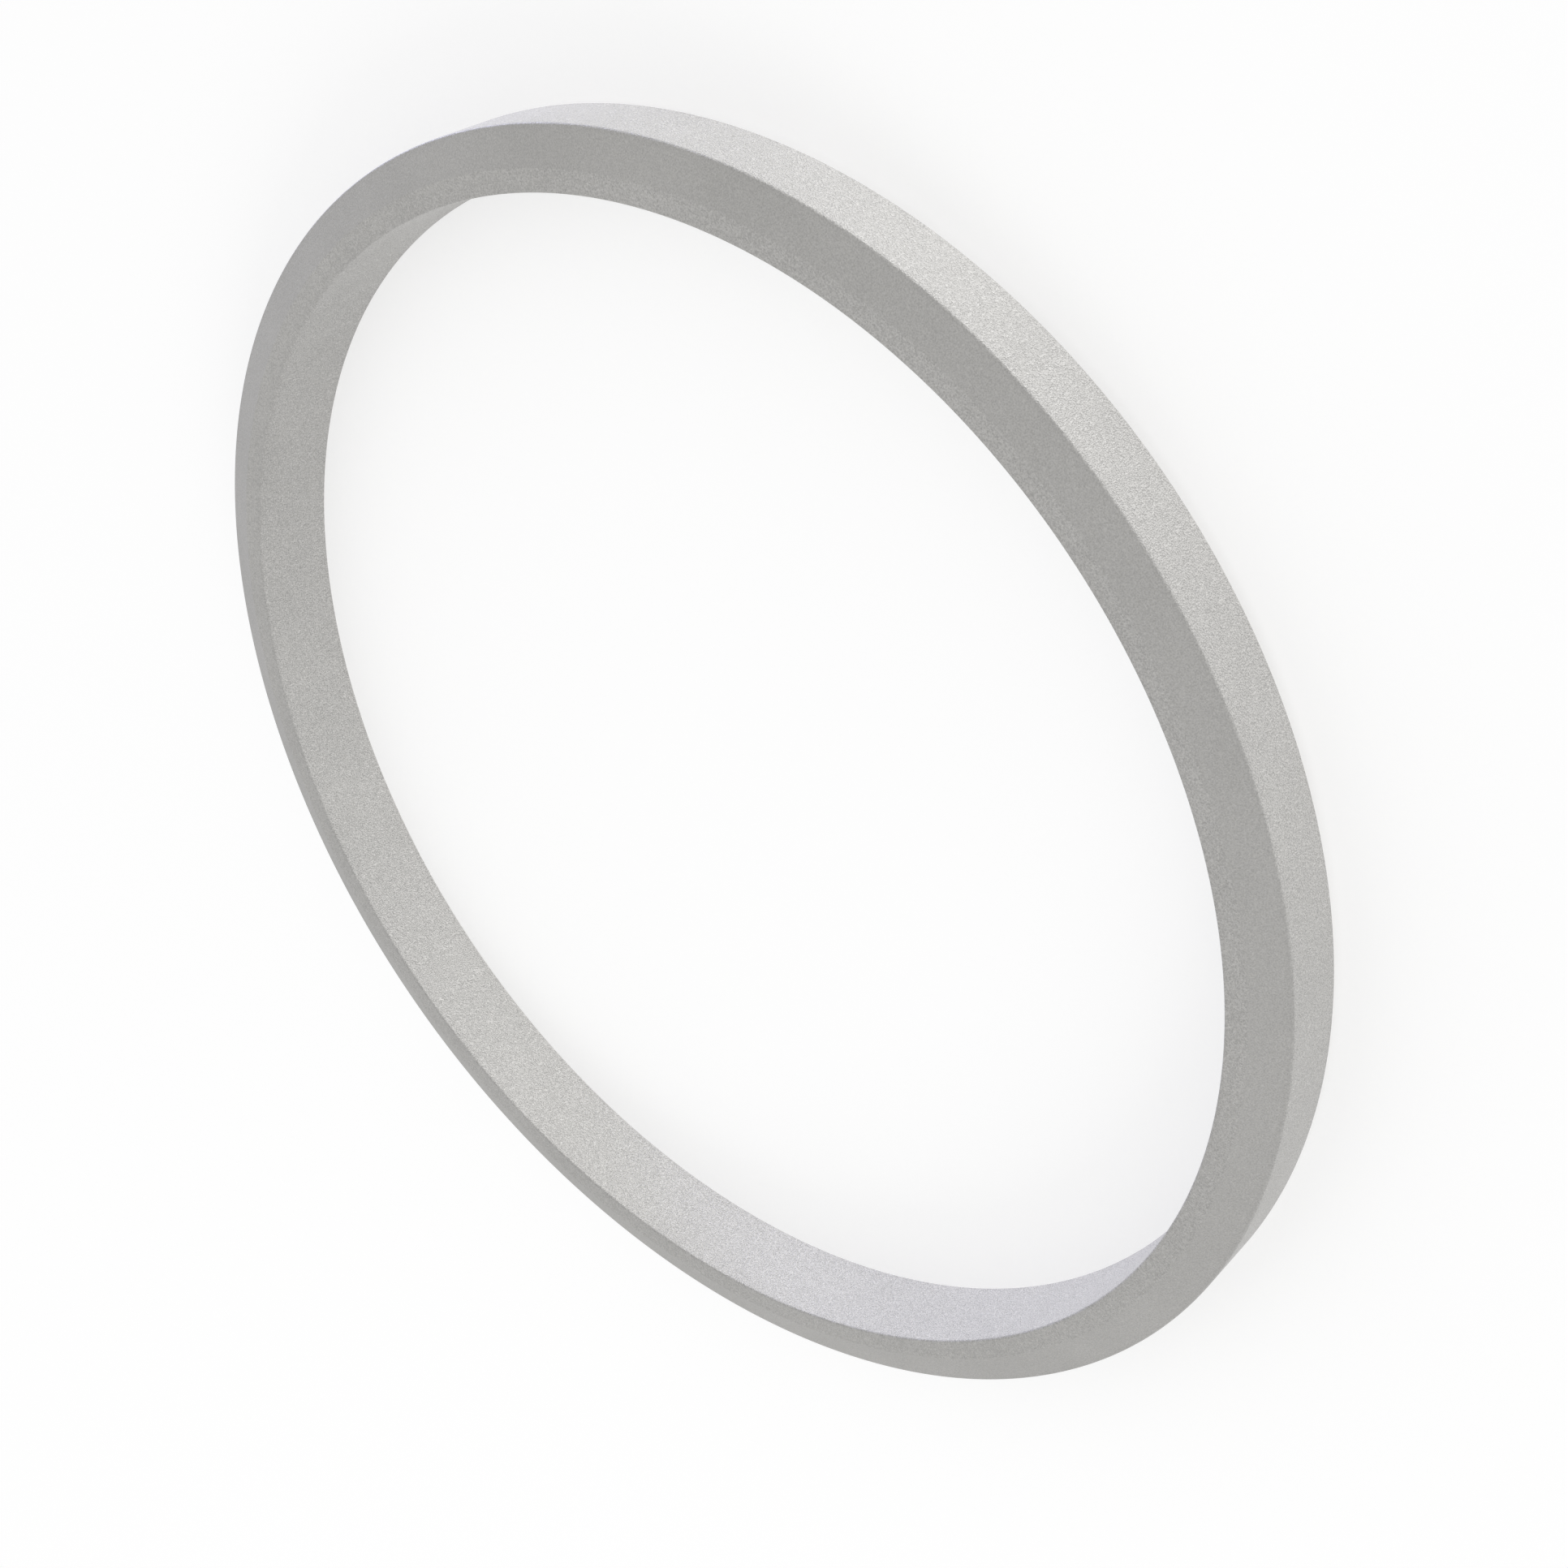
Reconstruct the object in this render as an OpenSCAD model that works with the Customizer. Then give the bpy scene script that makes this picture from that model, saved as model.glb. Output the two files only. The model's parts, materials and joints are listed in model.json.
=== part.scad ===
// Packing seal: one moulded ring that closes the gap between a rod and its housing.
// The ring lies on one of its two flat lands, with its axis along +Z and the origin
// at the centre of that land. Its section is widest at the bore: from the bore wall each
// side runs flat for the width of a land, then slopes as a bevel down to the outer wall.

/* [Ring] */
// Diameter of the bore, where the rod passes
bore_d = 108; // [60:1:200]
// Radial thickness of the ring, from the bore wall to the outer wall
section_t = 5; // [4:0.1:10]

/* [Section] */
// Width of the outer wall along the axis, between the two bevels
outer_w = 6; // [3:0.1:12]
// Height that each bevel rises from the outer wall to its land
bevel_h = 1.1; // [0.3:0.1:3]
// Radial width of each flat land beside the bore
land_w = 1.9; // [1:0.1:3]

/* [Edges] */
// Radius of the two moulded edges between the bore and the lands
bore_edge_r = 0.2; // [0.1:0.05:0.4]
// Radius of the two moulded edges between the bevels and the outer wall
outer_edge_r = 0.25; // [0.1:0.05:0.4]

/* [Hidden] */
// Facets drawn round the ring, and round the circle of each moulded edge
ring_fn = 180;
edge_fn = 32;
rubber_grey = [0.66, 0.65, 0.63];

bore_r = bore_d / 2;
outer_r = bore_r + section_t;
bore_w = outer_w + 2 * bevel_h;
bevel_angle = atan(bevel_h / (section_t - land_w));

// At the outer corner the section's outline turns by this angle, from the slope of the
// bevel to the upright wall. The setback is how far from the corner, along the bevel and
// along the wall, the rounded edge begins and ends.
outer_turn = 90 - bevel_angle;
outer_setback = outer_edge_r * tan(outer_turn / 2);

// The lower side of the outline, from the bore wall round to the outer wall, with its two
// edges cut straight across. The upper side is the same points, seen in a mirror.
corner = [outer_r, bevel_h];
lower_side = [
    [bore_r, bore_edge_r],
    [bore_r + bore_edge_r, 0],
    [bore_r + land_w, 0],
    corner - outer_setback * [cos(bevel_angle), sin(bevel_angle)],
    corner + [0, outer_setback]
];
upper_side = [for (i = [len(lower_side) - 1 : -1 : 0]) mirrored(lower_side[i])];

// The point at the same radius on the other side of the ring's middle plane
function mirrored(point) = [point[0], bore_w - point[1]];

// Rounds the same edge on both sides, with the centre given on the lower side
module round_edges(centre, r) {
    for (place = [centre, mirrored(centre)]) translate(place) circle(r = r, $fn = edge_fn);
}

module section() {
    polygon(concat(lower_side, upper_side));
    round_edges([bore_r + bore_edge_r, bore_edge_r], bore_edge_r);
    round_edges(corner + [-outer_edge_r, outer_setback], outer_edge_r);
}

module seal_ring() {
    color(rubber_grey) rotate_extrude($fn = ring_fn) section();
}

seal_ring();
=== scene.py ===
"""Dresses the packing seal: its moulded grey rubber, and the pale studio that it lies in."""

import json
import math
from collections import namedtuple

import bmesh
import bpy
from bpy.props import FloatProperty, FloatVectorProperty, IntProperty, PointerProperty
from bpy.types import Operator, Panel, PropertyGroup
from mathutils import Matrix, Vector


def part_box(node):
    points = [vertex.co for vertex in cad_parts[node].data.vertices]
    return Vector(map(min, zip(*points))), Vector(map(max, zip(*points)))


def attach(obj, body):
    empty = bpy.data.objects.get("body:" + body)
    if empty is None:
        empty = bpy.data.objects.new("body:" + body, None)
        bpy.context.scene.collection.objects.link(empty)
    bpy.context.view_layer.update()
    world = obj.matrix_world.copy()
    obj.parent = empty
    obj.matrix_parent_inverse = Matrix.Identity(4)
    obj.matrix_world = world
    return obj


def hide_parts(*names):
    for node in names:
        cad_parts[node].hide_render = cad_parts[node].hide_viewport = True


bl_info = {
    "name": "Packing Seal",
    "version": (1, 0, 0),
    "blender": (4, 5, 0),
    "location": "3D View > Sidebar > Packing Seal",
    "description": "Builds a moulded rubber packing seal and the pale studio that it lies in",
    "category": "Object",
}

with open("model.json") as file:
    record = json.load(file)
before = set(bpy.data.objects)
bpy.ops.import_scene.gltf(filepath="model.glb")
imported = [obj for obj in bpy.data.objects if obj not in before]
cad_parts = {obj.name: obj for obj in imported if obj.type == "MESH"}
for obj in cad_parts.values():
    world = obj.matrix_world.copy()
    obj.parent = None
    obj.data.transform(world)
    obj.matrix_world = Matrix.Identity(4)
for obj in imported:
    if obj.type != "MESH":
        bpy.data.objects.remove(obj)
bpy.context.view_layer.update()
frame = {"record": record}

MM = 0.001

# The part's own node, body and material slot, and the mounts that give its two radii.
NODE = "seal_ring"
BODY = "root"
mount_sizes = {mount["name"]: mount["dims"] for mount in frame["record"]["mounts"]}
BORE_RADIUS = mount_sizes["bore"]["r_mm"] * MM
OUTER_RADIUS = mount_sizes["outer_wall"]["r_mm"] * MM
low_corner, high_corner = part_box(NODE)
BORE_WIDTH = high_corner.z - low_corner.z

# The baked colours go on a map of this name: a quarter of the ring in each of its rows.
MAP_NAME = "OFBake"
MAP_ROWS = 4
MAP_FILL = 0.97

# The finish of one face of the section: its tone, which paints its colour lighter or darker as
# painted shading, how deep its grain, and how much rougher it is than the rest.
FaceFinish = namedtuple("FaceFinish", "tone grain matt")

# One point of the ring's section: its place, the way the surface faces there, how far it lies along
# the outline, its finish, and how much handling has polished it, from 0 to 1, which also sets how
# much darker its edges are painted, as painted shade.
SectionPoint = namedtuple("SectionPoint", "radius height facing along tone grain matt polish")

# What the mesh carries from each of those points to the rubber's nodes.
POINT_MASKS = ("tone", "grain", "matt", "polish")

# A noise keeps near the middle of its range. These parts of it are stretched to the whole:
# the first for the grain, and the second for slow changes from place to place.
GRAIN_SPAN = (0.2, 0.8)
PATCH_SPAN = (0.3, 0.7)

# Sizes of the patches in which the colour, the polish and the roughness change, how far the
# roughness drifts, and the part of an edge's patchy polish that is stretched to the whole.
COLOUR_PATCH = 9 * MM
POLISH_PATCH = 2 * MM
ROUGHNESS_PATCH = 4 * MM
ROUGHNESS_DRIFT = 0.03
POLISH_SPAN = (0.1, 0.6)

# One soft light: its way from the ring in degrees, its size in metres, its power in watts
# and its colour. The table lights stand below the floor and shine up through it.
SoftLight = namedtuple("SoftLight", "name azimuth elevation size power colour")
WHITE = (1, 1, 1)
COOL_WHITE = (0.66, 0.67, 1)
SOFT_LIGHTS = (
    SoftLight("high_side_light", 180, 30, (0.7, 0.7), 3.2, WHITE),
    SoftLight("table_side_light", 25, -12, (0.6, 0.3), 10.2, COOL_WHITE),
    SoftLight("table_low_light", -31, -48, (0.4, 0.4), 7, WHITE),
    SoftLight("table_front_light", -67, -30, (0.6, 0.4), 10, WHITE),
)

# The floor's finish, which is nearly matt, and how many sides its round outline has.
FLOOR_ROUGHNESS = 0.8
FLOOR_GLOSS = 0.2
FLOOR_SIDES = 96

# The camera's frame, in millimetres, and the nearest and furthest that it sees, in metres.
SENSOR_WIDTH = 36
NEAREST_SEEN = 10 * MM
FURTHEST_SEEN = 20


class SealSizes(PropertyGroup):
    """Sizes of the moulded ring and how finely it is drawn"""

    bore_radius: FloatProperty(
        name="Bore radius",
        description="Radius of the straight bore wall",
        default=BORE_RADIUS,
        min=10 * MM,
        unit="LENGTH",
    )
    outer_radius: FloatProperty(
        name="Outer radius",
        description="Radius of the straight outer wall",
        default=OUTER_RADIUS,
        min=12 * MM,
        unit="LENGTH",
    )
    bore_width: FloatProperty(
        name="Width at the bore",
        description="Width of the ring along its axis, from land to land",
        default=BORE_WIDTH,
        min=1 * MM,
        unit="LENGTH",
    )
    land_width: FloatProperty(
        name="Land width",
        description="Radial width of each flat land beside the bore",
        default=1.9 * MM,
        min=0.5 * MM,
        unit="LENGTH",
    )
    bevel_height: FloatProperty(
        name="Bevel height",
        description="Height that each bevel rises from the outer wall to its land",
        default=1.1 * MM,
        min=0.1 * MM,
        unit="LENGTH",
    )
    bore_edge: FloatProperty(
        name="Bore edge radius",
        description="Radius of the two moulded edges between the bore and the lands",
        default=0.2 * MM,
        min=0.02 * MM,
        unit="LENGTH",
    )
    ridge_edge: FloatProperty(
        name="Ridge edge radius",
        description="Radius of the faint ridge between each land and its bevel",
        default=0.15 * MM,
        min=0.02 * MM,
        unit="LENGTH",
    )
    outer_edge: FloatProperty(
        name="Outer edge radius",
        description="Radius of the two moulded edges between the bevels and the outer wall",
        default=0.25 * MM,
        min=0.02 * MM,
        unit="LENGTH",
    )
    polish_reach: FloatProperty(
        name="Polish reach",
        description="How far the polish of a handled edge spreads on to the faces beside it",
        default=0.35 * MM,
        min=0.05 * MM,
        unit="LENGTH",
    )
    round_steps: IntProperty(
        name="Steps round the ring",
        description="Faces round the ring, a multiple of four",
        default=720,
        min=64,
    )
    edge_steps: IntProperty(
        name="Steps round an edge",
        description="Faces across a rounded edge of a right angle",
        default=8,
        min=2,
    )
    face_step: FloatProperty(
        name="Step across a face",
        description="Largest width of a mesh face on the flats of the section",
        default=0.4 * MM,
        min=0.1 * MM,
        unit="LENGTH",
    )


class RubberLook(PropertyGroup):
    """Colour, grain and shine of the moulded rubber, and the shading painted into its colour"""

    colour: FloatVectorProperty(
        name="Colour",
        description="Colour of the rubber",
        subtype="COLOR",
        default=(0.42, 0.413, 0.399),
        min=0.0,
        max=1.0,
    )
    mottle: FloatProperty(
        name="Mottle",
        description="How much the colour drifts from place to place, as a share of it",
        default=0.03,
        min=0.0,
        max=0.5,
        subtype="FACTOR",
    )
    # Partly painted shade: the grain's hollows are painted darker and its tops lighter, as shade in
    # the hollows, with dust that they hold and tops that are rubbed.
    speckle: FloatProperty(
        name="Speckle",
        description="How much lighter the tops of the grains are, and how much darker the hollows",
        default=0.15,
        min=0.0,
        max=0.5,
        subtype="FACTOR",
    )
    # Painted shading: the four tones below paint each face's colour lighter or darker, in place of
    # how the light falls on it.
    land_painted_shading: FloatProperty(
        name="Land tone",
        description="Brightness of the lands",
        default=1.01,
        min=0.5,
        max=1.5,
    )
    # Painted shade: the bevels' colour is painted darker than the other faces'.
    bevel_painted_shading: FloatProperty(
        name="Bevel tone",
        description="Brightness of the bevels, which are a little darker than the other faces",
        default=0.97,
        min=0.5,
        max=1.5,
    )
    bore_painted_shading: FloatProperty(
        name="Bore tone",
        description="Brightness of the bore wall",
        default=1.015,
        min=0.5,
        max=1.5,
    )
    outer_painted_shading: FloatProperty(
        name="Outer tone",
        description="Brightness of the outer wall",
        default=0.99,
        min=0.5,
        max=1.5,
    )
    grain_size: FloatProperty(
        name="Grain size",
        description="Distance from one moulded grain to the next",
        default=0.11 * MM,
        min=0.05 * MM,
        unit="LENGTH",
    )
    grain_height: FloatProperty(
        name="Grain height",
        description="Height of the moulded grain",
        default=0.015 * MM,
        min=0.0,
        unit="LENGTH",
    )
    pebble_size: FloatProperty(
        name="Pebble size",
        description="Distance between the larger and fainter pebbles under the grain",
        default=0.3 * MM,
        min=0.05 * MM,
        unit="LENGTH",
    )
    pebble_share: FloatProperty(
        name="Pebble share",
        description="Height of the pebbles as a share of the grain's",
        default=0.2,
        min=0.0,
        max=1.0,
        subtype="FACTOR",
    )
    land_grain: FloatProperty(
        name="Land grain",
        description="Depth of the grain on the lands",
        default=1.3,
        min=0.0,
    )
    bevel_grain: FloatProperty(
        name="Bevel grain",
        description="Depth of the grain on the bevels",
        default=0.9,
        min=0.0,
    )
    bore_grain: FloatProperty(
        name="Bore grain",
        description="Depth of the grain on the bore wall",
        default=2.0,
        min=0.0,
    )
    outer_grain: FloatProperty(
        name="Outer grain",
        description="Depth of the grain on the outer wall",
        default=1.6,
        min=0.0,
    )
    # Painted shade along the edges: how much darker their colour is painted.
    painted_edge_shade: FloatProperty(
        name="Edge shade",
        description="How much darker handling has made the edges",
        default=0.06,
        min=0.0,
        max=0.5,
        subtype="FACTOR",
    )
    roughness: FloatProperty(
        name="Roughness",
        description="Roughness of the moulded surface",
        default=0.46,
        min=0.0,
        max=1.0,
        subtype="FACTOR",
    )
    edge_roughness: FloatProperty(
        name="Edge roughness",
        description="Roughness where handling has polished the edges",
        default=0.38,
        min=0.0,
        max=1.0,
        subtype="FACTOR",
    )
    bevel_matt: FloatProperty(
        name="Bevel matt",
        description="How much rougher the bevels are than the other faces",
        default=0.12,
        min=0.0,
        max=0.5,
        subtype="FACTOR",
    )


class StudioLook(PropertyGroup):
    """Floor, lights and camera of the studio"""

    floor_radius: FloatProperty(
        name="Floor radius",
        description="Radius of the round floor",
        default=2.5,
        min=0.3,
        unit="LENGTH",
    )
    floor_tone: FloatProperty(
        name="Floor tone",
        description="How much light the floor gives back",
        default=0.6,
        min=0.0,
        max=1.0,
        subtype="FACTOR",
    )
    floor_glow: FloatProperty(
        name="Floor glow",
        description="Light that the white floor gives off by itself, as a lit table does",
        default=0.45,
        min=0.0,
    )
    sky_strength: FloatProperty(
        name="Sky strength",
        description="Strength of the even light from all round",
        default=0.825,
        min=0.0,
    )
    light_distance: FloatProperty(
        name="Light distance",
        description="Distance from each soft light to the ring",
        default=1.5,
        min=0.5,
        unit="LENGTH",
    )
    lens: FloatProperty(
        name="Lens",
        description="Focal length of the camera, in millimetres",
        default=50.0,
        min=10.0,
    )
    camera_distance: FloatProperty(
        name="Camera distance",
        description="Distance from the camera to the middle of the ring",
        default=190.955 * MM,
        min=50 * MM,
        unit="LENGTH",
    )
    camera_elevation: FloatProperty(
        name="Camera elevation",
        description="Angle of the camera above the ring's middle plane",
        default=math.radians(37.186),
        subtype="ANGLE",
        unit="ROTATION",
    )
    camera_roll: FloatProperty(
        name="Camera roll",
        description="Turn of the camera about its line of sight",
        default=math.radians(-124.7565),
        subtype="ANGLE",
        unit="ROTATION",
    )
    camera_aim: FloatVectorProperty(
        name="Camera aim",
        description="Point of the ring's middle plane at the centre of the picture",
        size=2,
        default=(-2.914 * MM, -10.344 * MM),
        unit="LENGTH",
    )


def rounded_outline(corners, edge_steps, face_step):
    """Yields the place, facing and finish of each point of an outline with rounded corners.

    corners holds (place, edge radius, finish of the face that follows) in order, with the
    inside on the left. The finish changes from face to face round each edge.
    """
    count = len(corners)
    arcs = []
    for i, (place, radius, finish) in enumerate(corners):
        last_finish = corners[i - 1][2]
        before = (place - corners[i - 1][0]).normalized()
        after = (corners[(i + 1) % count][0] - place).normalized()
        turn = before.angle(after)
        facing = Vector((before.y, -before.x))
        centre = place - before * radius * math.tan(turn / 2) - facing * radius
        start = math.atan2(facing.y, facing.x)
        steps = max(2, math.ceil(edge_steps * turn / math.radians(90)))
        arc = []
        for k in range(steps + 1):
            share = k / steps
            way = Vector((math.cos(start + turn * share), math.sin(start + turn * share)))
            mix = FaceFinish(*(a + (b - a) * share for a, b in zip(last_finish, finish)))
            arc.append((centre + way * radius, way, mix))
        arcs.append(arc)
    for i, arc in enumerate(arcs):
        yield from arc
        first, facing, finish = arc[-1]
        last = arcs[(i + 1) % count][0][0]
        pieces = math.ceil((last - first).length / face_step)
        for k in range(1, pieces):
            yield first.lerp(last, k / pieces), facing, finish


def ring_section(sizes, look):
    """The seal's section as SectionPoints, from the lower edge of the bore outwards."""
    width = sizes.bore_width
    # Each face's tone is painted shading: its colour made lighter or darker in place of the light
    # that falls on it.
    land = FaceFinish(look.land_painted_shading, look.land_grain, 0)
    bevel = FaceFinish(look.bevel_painted_shading, look.bevel_grain, look.bevel_matt)
    bore_wall = FaceFinish(look.bore_painted_shading, look.bore_grain, 0)
    outer_wall = FaceFinish(look.outer_painted_shading, look.outer_grain, 0)
    bore_place = Vector((sizes.bore_radius, 0))
    ridge_place = Vector((sizes.bore_radius + sizes.land_width, 0))
    outer_place = Vector((sizes.outer_radius, sizes.bevel_height))

    def mirrored(place):
        return Vector((place.x, width - place.y))

    corners = [
        (bore_place, sizes.bore_edge, land),
        (ridge_place, sizes.ridge_edge, bevel),
        (outer_place, sizes.outer_edge, outer_wall),
        (mirrored(outer_place), sizes.outer_edge, bevel),
        (mirrored(ridge_place), sizes.ridge_edge, land),
        (mirrored(bore_place), sizes.bore_edge, bore_wall),
    ]
    sharp_edges = [bore_place, outer_place, mirrored(outer_place), mirrored(bore_place)]
    outline = list(rounded_outline(corners, sizes.edge_steps, sizes.face_step))
    points = []
    along = 0.0
    for i, (place, facing, finish) in enumerate(outline):
        if i:
            along += (place - outline[i - 1][0]).length
        gap = min((place - edge).length for edge in sharp_edges)
        polish = 1 - min(gap / sizes.polish_reach, 1)
        points.append(SectionPoint(place.x, place.y, facing, along, *finish, polish))
    return points


def lathe(name, points, steps):
    """Turns a section about the Z axis and returns the closed mesh."""
    outline_length = points[-1].along + (
        Vector((points[0].radius, points[0].height)) - Vector((points[-1].radius, points[-1].height))
    ).length
    stations = [point.along for point in points] + [outline_length]
    made = bmesh.new()
    masks = {mask: made.verts.layers.float.new(mask) for mask in POINT_MASKS}
    places = made.loops.layers.uv.new(MAP_NAME)
    rings = []
    normals = []
    for i in range(steps):
        angle = math.tau * i / steps
        out = Vector((math.cos(angle), math.sin(angle), 0))
        ring = []
        for point in points:
            vertex = made.verts.new(out * point.radius + Vector((0, 0, point.height)))
            for mask, layer in masks.items():
                vertex[layer] = getattr(point, mask)
            normals.append(out * point.facing.x + Vector((0, 0, point.facing.y)))
            ring.append(vertex)
        rings.append(ring)
    quarter = steps // MAP_ROWS
    for i in range(steps):
        ring, following = rings[i], rings[(i + 1) % steps]
        row, column = divmod(i, quarter)
        for j in range(len(points)):
            k = (j + 1) % len(points)
            face = made.faces.new((ring[j], following[j], following[k], ring[k]))
            face.smooth = True
            across = (0, 1, 1, 0)
            up = (j, j, j + 1, j + 1)
            for loop, step, station in zip(face.loops, across, up, strict=True):
                u = 0.5 + MAP_FILL * ((column + step) / quarter - 0.5)
                v = 0.5 + MAP_FILL * (stations[station] / outline_length - 0.5)
                loop[places].uv = (u, (row + v) / MAP_ROWS)
    mesh = bpy.data.meshes.new(name)
    made.to_mesh(mesh)
    made.free()
    mesh.normals_split_custom_set_from_vertices(normals)
    return mesh


def add_node(tree, kind, **values):
    """Adds a shader node and sets its plain attributes."""
    node = tree.nodes.new(kind)
    for name, value in values.items():
        setattr(node, name, value)
    return node


def noise(tree, place, size, detail=2.0, roughness=0.5):
    """A noise of this feature size, in metres, and its value from 0 to 1."""
    node = add_node(tree, "ShaderNodeTexNoise", noise_dimensions="3D")
    node.inputs["Scale"].default_value = 1 / size
    node.inputs["Detail"].default_value = detail
    node.inputs["Roughness"].default_value = roughness
    tree.links.new(place, node.inputs["Vector"])
    return node.outputs["Fac"]


def spread(tree, value, old_range, new_range):
    """Stretches a value from one range to another, and stops at its ends."""
    node = add_node(tree, "ShaderNodeMapRange", clamp=True)
    node.inputs["From Min"].default_value = old_range[0]
    node.inputs["From Max"].default_value = old_range[1]
    node.inputs["To Min"].default_value = new_range[0]
    node.inputs["To Max"].default_value = new_range[1]
    tree.links.new(value, node.inputs["Value"])
    return node.outputs["Result"]


def combine(tree, operation, first, second):
    """One maths step on two values, each of them a socket or a number."""
    node = add_node(tree, "ShaderNodeMath", operation=operation)
    for socket, value in zip(node.inputs, (first, second)):
        if isinstance(value, (int, float)):
            socket.default_value = value
        else:
            tree.links.new(value, socket)
    return node.outputs[0]


def shaded(tree, colour, factor):
    """A colour made brighter or darker by a factor socket."""
    node = add_node(tree, "ShaderNodeVectorMath", operation="SCALE")
    node.inputs[0].default_value = colour
    tree.links.new(factor, node.inputs["Scale"])
    return node.outputs[0]


def moulded_rubber(look):
    """Grey rubber with a fine moulded grain, a slight mottle, polished edges that are painted darker
    as painted shade, and faces painted lighter or darker as painted shading.
    """
    material = bpy.data.materials.new("moulded_grey_rubber")
    material.use_nodes = True
    material.diffuse_color = (*look.colour, 1)
    tree = material.node_tree
    shader = tree.nodes["Principled BSDF"]
    place = add_node(tree, "ShaderNodeTexCoord").outputs["Object"]
    # The tone mask paints each face lighter or darker, as painted shading; the polish mask both
    # polishes the edges and paints them darker, as painted shade.
    tone, depth, matt, edges = (
        add_node(tree, "ShaderNodeAttribute", attribute_name=mask).outputs["Fac"]
        for mask in POINT_MASKS
    )

    # The grain stands from -1 in its hollows to 1 on its tops, times the face's own depth.
    fine = spread(tree, noise(tree, place, look.grain_size, detail=0.0), GRAIN_SPAN, (-1, 1))
    coarse = spread(tree, noise(tree, place, look.pebble_size, detail=0.0), GRAIN_SPAN, (-1, 1))
    pebbles = combine(tree, "MULTIPLY", coarse, look.pebble_share)
    grain = combine(tree, "MULTIPLY", combine(tree, "ADD", fine, pebbles), depth)
    bump = add_node(tree, "ShaderNodeBump")
    bump.inputs["Strength"].default_value = 1.0
    bump.inputs["Distance"].default_value = look.grain_height
    tree.links.new(grain, bump.inputs["Height"])
    tree.links.new(bump.outputs["Normal"], shader.inputs["Normal"])

    mottle = (1 - look.mottle, 1 + look.mottle)
    clouds = spread(tree, noise(tree, place, COLOUR_PATCH), PATCH_SPAN, mottle)
    # Partly painted shade: the grain's hollows are painted darker and its tops lighter, with dust in
    # the hollows and rubbed tops.
    speckle = combine(tree, "ADD", combine(tree, "MULTIPLY", grain, look.speckle), 1.0)
    # Painted shade: the edges' colour is painted darker.
    painted_edge_darkening = combine(tree, "SUBTRACT", 1.0, combine(tree, "MULTIPLY", edges, look.painted_edge_shade))
    # Painted shading: the face's tone paints its colour lighter or darker; the clouds' mottle is the
    # rubber's own.
    brightness = combine(tree, "MULTIPLY", combine(tree, "MULTIPLY", clouds, speckle), tone)
    tree.links.new(
        shaded(tree, look.colour, combine(tree, "MULTIPLY", brightness, painted_edge_darkening)),
        shader.inputs["Base Color"],
    )

    rubbed = combine(tree, "MULTIPLY", edges, noise(tree, place, POLISH_PATCH))
    polish = spread(tree, rubbed, POLISH_SPAN, (look.roughness, look.edge_roughness))
    drift = (-ROUGHNESS_DRIFT, ROUGHNESS_DRIFT)
    uneven = spread(tree, noise(tree, place, ROUGHNESS_PATCH), PATCH_SPAN, drift)
    roughness = combine(tree, "ADD", combine(tree, "ADD", polish, uneven), matt)
    tree.links.new(roughness, shader.inputs["Roughness"])
    return material


def build_ring(scene):
    """Makes the moulded ring, which stands for the seal's solid."""
    sizes, look = scene.seal_sizes, scene.rubber_look
    mesh = lathe("moulded_seal_ring", ring_section(sizes, look), sizes.round_steps)
    mesh.materials.append(moulded_rubber(look))
    ring = bpy.data.objects.new("moulded_seal_ring", mesh)
    scene.collection.objects.link(ring)
    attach(ring, BODY)
    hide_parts(NODE)
    return ring


def pale_floor(scene):
    """A large round pale floor at the height that the ring lies on."""
    look = scene.studio_look
    material = bpy.data.materials.new("pale_floor")
    material.use_nodes = True
    shader = material.node_tree.nodes["Principled BSDF"]
    shader.inputs["Base Color"].default_value = (look.floor_tone, look.floor_tone, look.floor_tone, 1)
    shader.inputs["Roughness"].default_value = FLOOR_ROUGHNESS
    shader.inputs["Specular IOR Level"].default_value = FLOOR_GLOSS
    shader.inputs["Emission Color"].default_value = (*WHITE, 1)
    shader.inputs["Emission Strength"].default_value = look.floor_glow
    made = bmesh.new()
    bmesh.ops.create_circle(made, cap_ends=True, segments=FLOOR_SIDES, radius=look.floor_radius)
    mesh = bpy.data.meshes.new("pale_floor")
    made.to_mesh(mesh)
    made.free()
    mesh.materials.append(material)
    floor = bpy.data.objects.new("pale_floor", mesh)
    floor.location.z = low_corner.z
    # The floor is a lit table: light from below passes up through it.
    floor.visible_shadow = False
    scene.collection.objects.link(floor)


def soft_sky(scene):
    """Even white light from all round."""
    world = bpy.data.worlds.new("soft_sky")
    world.use_nodes = True
    background = world.node_tree.nodes["Background"]
    background.inputs["Color"].default_value = (*WHITE, 1)
    background.inputs["Strength"].default_value = scene.studio_look.sky_strength
    scene.world = world


def soft_light(scene, light):
    """Sets up one soft oblong light, which faces the ring and which no camera sees."""
    data = bpy.data.lights.new(light.name, "AREA")
    data.shape = "RECTANGLE"
    data.size, data.size_y = light.size
    data.energy = light.power
    data.color = light.colour
    lamp = bpy.data.objects.new(light.name, data)
    turn, rise = math.radians(light.azimuth), math.radians(light.elevation)
    way = Vector((math.cos(turn) * math.cos(rise), math.sin(turn) * math.cos(rise), math.sin(rise)))
    lamp.location = way * scene.studio_look.light_distance
    lamp.rotation_euler = way.to_track_quat("Z", "Y").to_euler()
    lamp.visible_camera = False
    scene.collection.objects.link(lamp)


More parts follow.
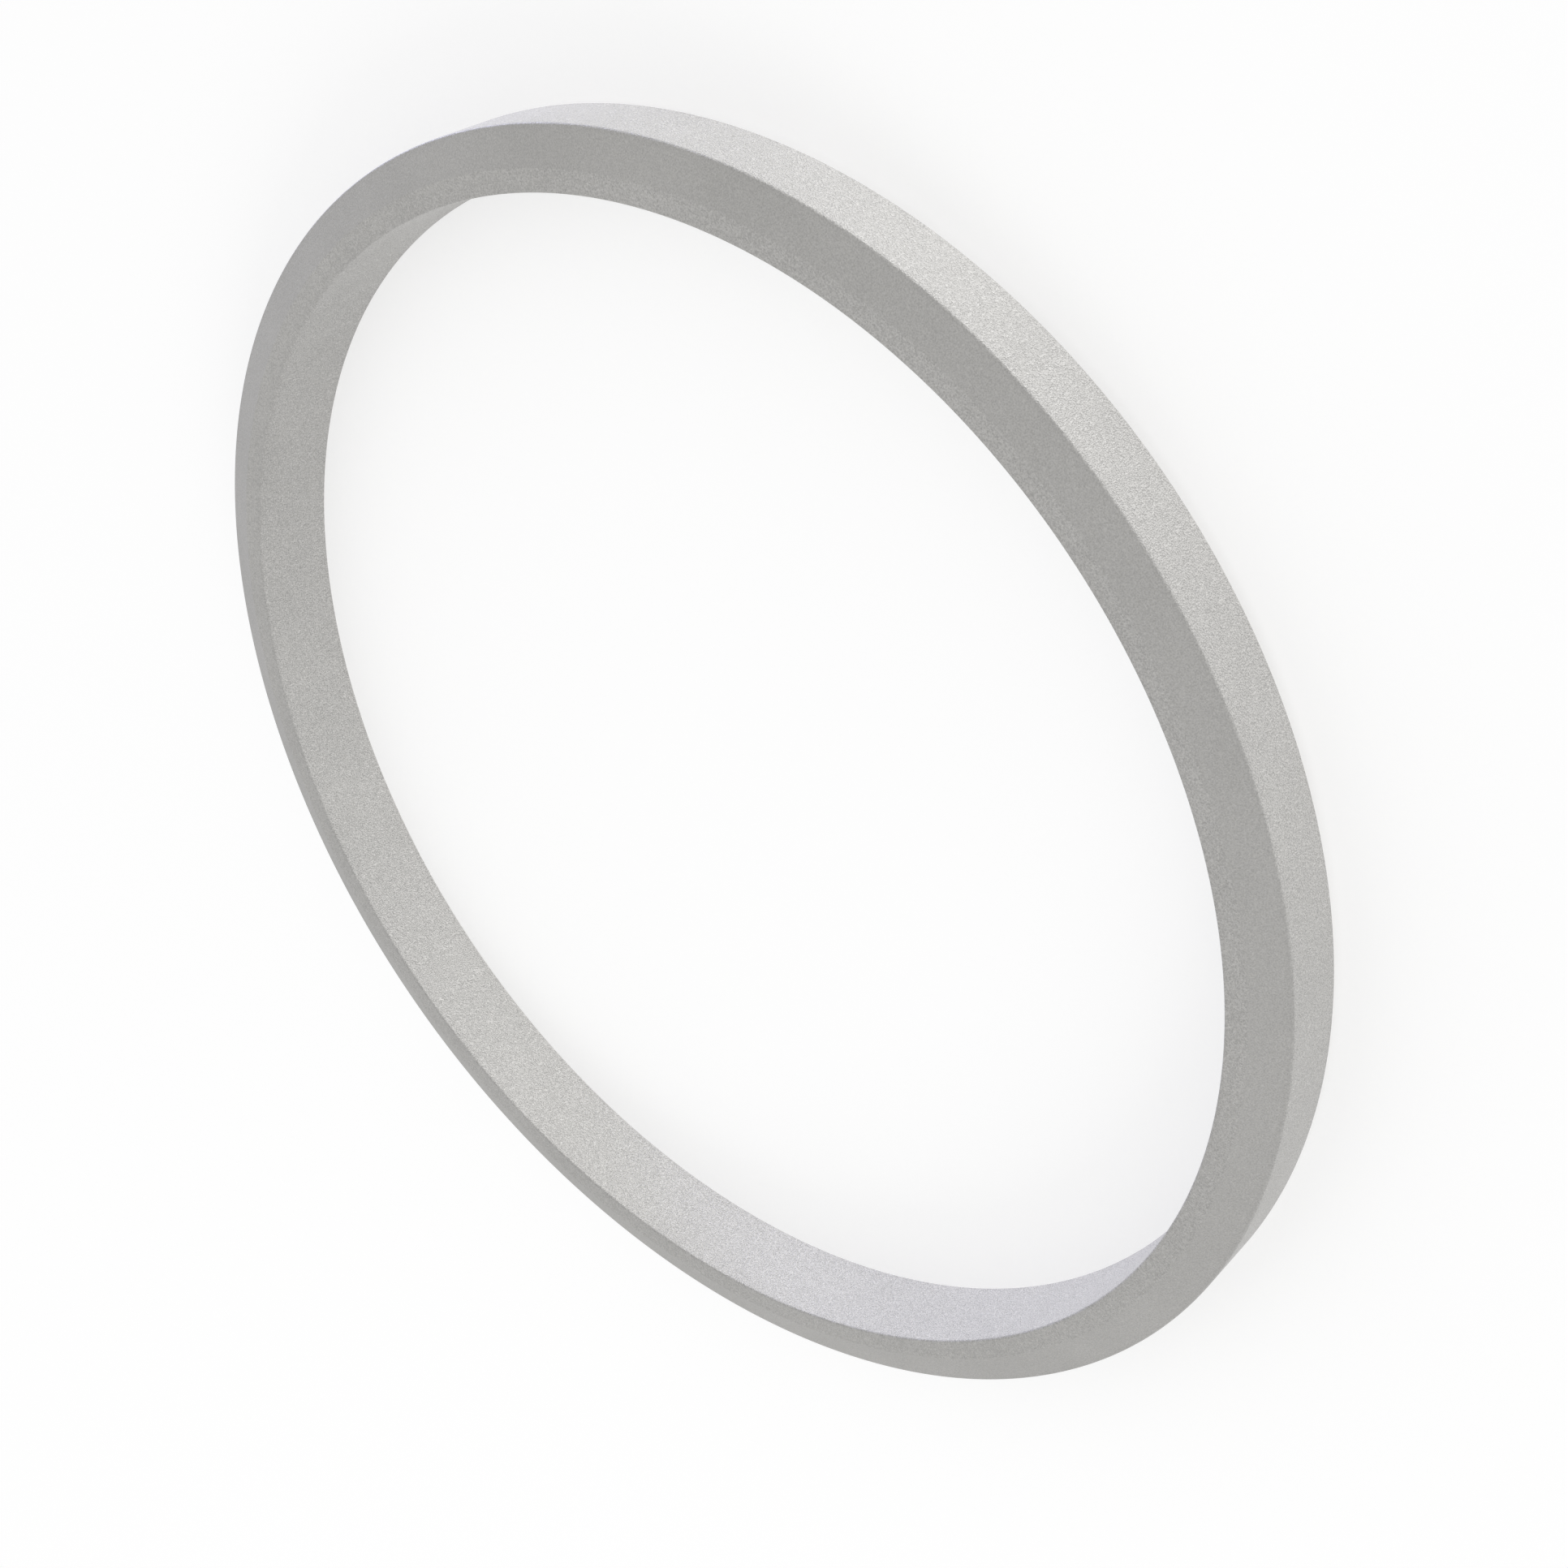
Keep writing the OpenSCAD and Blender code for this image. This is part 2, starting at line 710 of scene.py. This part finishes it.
def photograph_camera(scene):
    """A camera that sees the ring from the photograph's angle, turned as it was there."""
    look = scene.studio_look
    middle = Vector((0, 0, (low_corner.z + high_corner.z) / 2))
    rise = look.camera_elevation
    place = middle + Vector((0, -math.cos(rise), math.sin(rise))) * look.camera_distance
    forward = (middle + Vector((*look.camera_aim, 0)) - place).normalized()
    level_right = forward.cross(Vector((0, 0, 1))).normalized()
    level_up = level_right.cross(forward)
    roll = look.camera_roll
    right = level_right * math.cos(roll) + level_up * math.sin(roll)
    up = right.cross(forward)
    data = bpy.data.cameras.new("photograph_camera")
    data.lens = look.lens
    data.sensor_width = SENSOR_WIDTH
    data.clip_start = NEAREST_SEEN
    data.clip_end = FURTHEST_SEEN
    camera = bpy.data.objects.new("photograph_camera", data)
    turned = Matrix((right, up, -forward)).transposed().to_4x4()
    camera.matrix_world = Matrix.Translation(place) @ turned
    scene.collection.objects.link(camera)
    scene.camera = camera


class PACKINGSEAL_OT_ring(Operator):
    """Builds the moulded rubber ring in place of its plain solid"""

    bl_idname = "packing_seal.ring"
    bl_label = "Build Ring"
    bl_options = {"REGISTER", "UNDO"}

    def execute(self, context):
        if context.scene.seal_sizes.round_steps % MAP_ROWS:
            raise ValueError(f"the steps round the ring have to be a multiple of {MAP_ROWS}")
        build_ring(context.scene)
        return {"FINISHED"}


class PACKINGSEAL_OT_studio(Operator):
    """Builds the pale floor, the soft lights and the camera"""

    bl_idname = "packing_seal.studio"
    bl_label = "Build Studio"
    bl_options = {"REGISTER", "UNDO"}

    def execute(self, context):
        scene = context.scene
        pale_floor(scene)
        soft_sky(scene)
        for light in SOFT_LIGHTS:
            soft_light(scene, light)
        photograph_camera(scene)
        scene.view_settings.view_transform = "Standard"
        return {"FINISHED"}


class PACKINGSEAL_PT_panel(Panel):
    """Lists the seal's sizes, its look and the studio"""

    bl_idname = "PACKINGSEAL_PT_panel"
    bl_label = "Packing Seal"
    bl_space_type = "VIEW_3D"
    bl_region_type = "UI"
    bl_category = "Packing Seal"

    def draw(self, context):
        scene = context.scene
        groups = (
            ("Ring", scene.seal_sizes, PACKINGSEAL_OT_ring),
            ("Rubber", scene.rubber_look, None),
            ("Studio", scene.studio_look, PACKINGSEAL_OT_studio),
        )
        for title, group, operator in groups:
            box = self.layout.box()
            box.label(text=title)
            for name in group.__annotations__:
                box.prop(group, name)
            if operator:
                box.operator(operator.bl_idname)


CLASSES = (
    SealSizes,
    RubberLook,
    StudioLook,
    PACKINGSEAL_OT_ring,
    PACKINGSEAL_OT_studio,
    PACKINGSEAL_PT_panel,
)


def register():
    """Adds the classes and the scene's settings."""
    for kind in CLASSES:
        bpy.utils.register_class(kind)
    bpy.types.Scene.seal_sizes = PointerProperty(type=SealSizes)
    bpy.types.Scene.rubber_look = PointerProperty(type=RubberLook)
    bpy.types.Scene.studio_look = PointerProperty(type=StudioLook)


def unregister():
    """Takes the scene's settings and the classes away."""
    del bpy.types.Scene.studio_look
    del bpy.types.Scene.rubber_look
    del bpy.types.Scene.seal_sizes
    for kind in reversed(CLASSES):
        bpy.utils.unregister_class(kind)


def main():
    """Builds the whole scene."""
    register()
    bpy.ops.packing_seal.ring()
    bpy.ops.packing_seal.studio()


if __name__ == "__main__":
    main()
